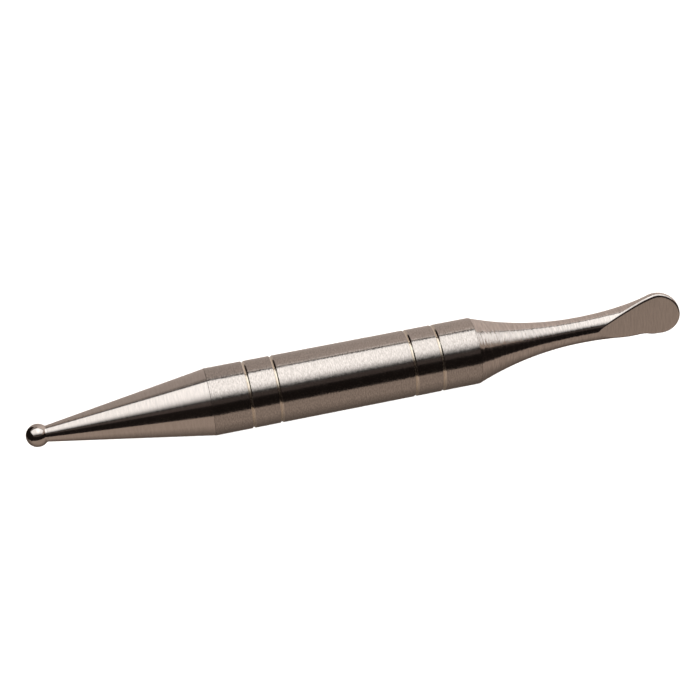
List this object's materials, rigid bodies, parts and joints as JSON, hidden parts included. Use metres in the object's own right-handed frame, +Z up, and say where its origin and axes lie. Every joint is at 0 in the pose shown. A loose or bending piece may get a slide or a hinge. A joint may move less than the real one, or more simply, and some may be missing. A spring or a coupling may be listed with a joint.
{
  "type": "sculpting spatula",
  "caption": "Turned metal double-ended sculpting tool: a grooved grip barrel with a ball-tipped cone and a hollow-ground spatula screwed into its ends.",
  "frame": {"origin": "on the surface that the tool lies on, below the middle of its length", "axes": "+X along the tool from the ball to the spatula, +Z up, and the spatula's flat faces -Y"},
  "size_m": [0.0998, 0.01, 0.01],
  "materials": {
    "blasted_barrel": "fine blasted satin, warm grey",
    "turned_metal": "fine turned satin, warm grey",
    "polished_metal": "polished",
    "stud_steel": "plain machined",
    "black_rubber": "matt"
  },
  "bodies": {
    "grip": {"grip_barrel": "blasted_barrel"},
    "front_ring": {"front_seal_ring": "black_rubber"},
    "ball_end": {"nose_cone": "turned_metal", "ball_tip": "polished_metal", "front_stud": "stud_steel"},
    "rear_ring": {"rear_seal_ring": "black_rubber"},
    "spatula_end": {"spatula_blade": "turned_metal", "rear_stud": "stud_steel"}
  },
  "joints": [
    {"name": "ball_end_travel", "type": "slide", "parent": "grip", "child": "front_ring", "axis": [-1, 0, 0], "range_m": [0, 0.0088]},
    {"name": "ball_end_turn", "type": "hinge", "parent": "front_ring", "child": "ball_end", "pos_m": [-0.02322, 0, 0.005], "axis": [-1, 0, 0], "range_deg": [0, 3960]},
    {"name": "spatula_end_travel", "type": "slide", "parent": "grip", "child": "rear_ring", "axis": [1, 0, 0], "range_m": [0, 0.0088]},
    {"name": "spatula_end_turn", "type": "hinge", "parent": "rear_ring", "child": "spatula_end", "pos_m": [0.01718, 0, 0.005], "axis": [1, 0, 0], "range_deg": [0, 3960]}
  ],
  "couplings": [
    {"joint": "ball_end_turn", "follows": "ball_end_travel", "rad_per_m": 7854},
    {"joint": "spatula_end_turn", "follows": "spatula_end_travel", "rad_per_m": 7854}
  ]
}
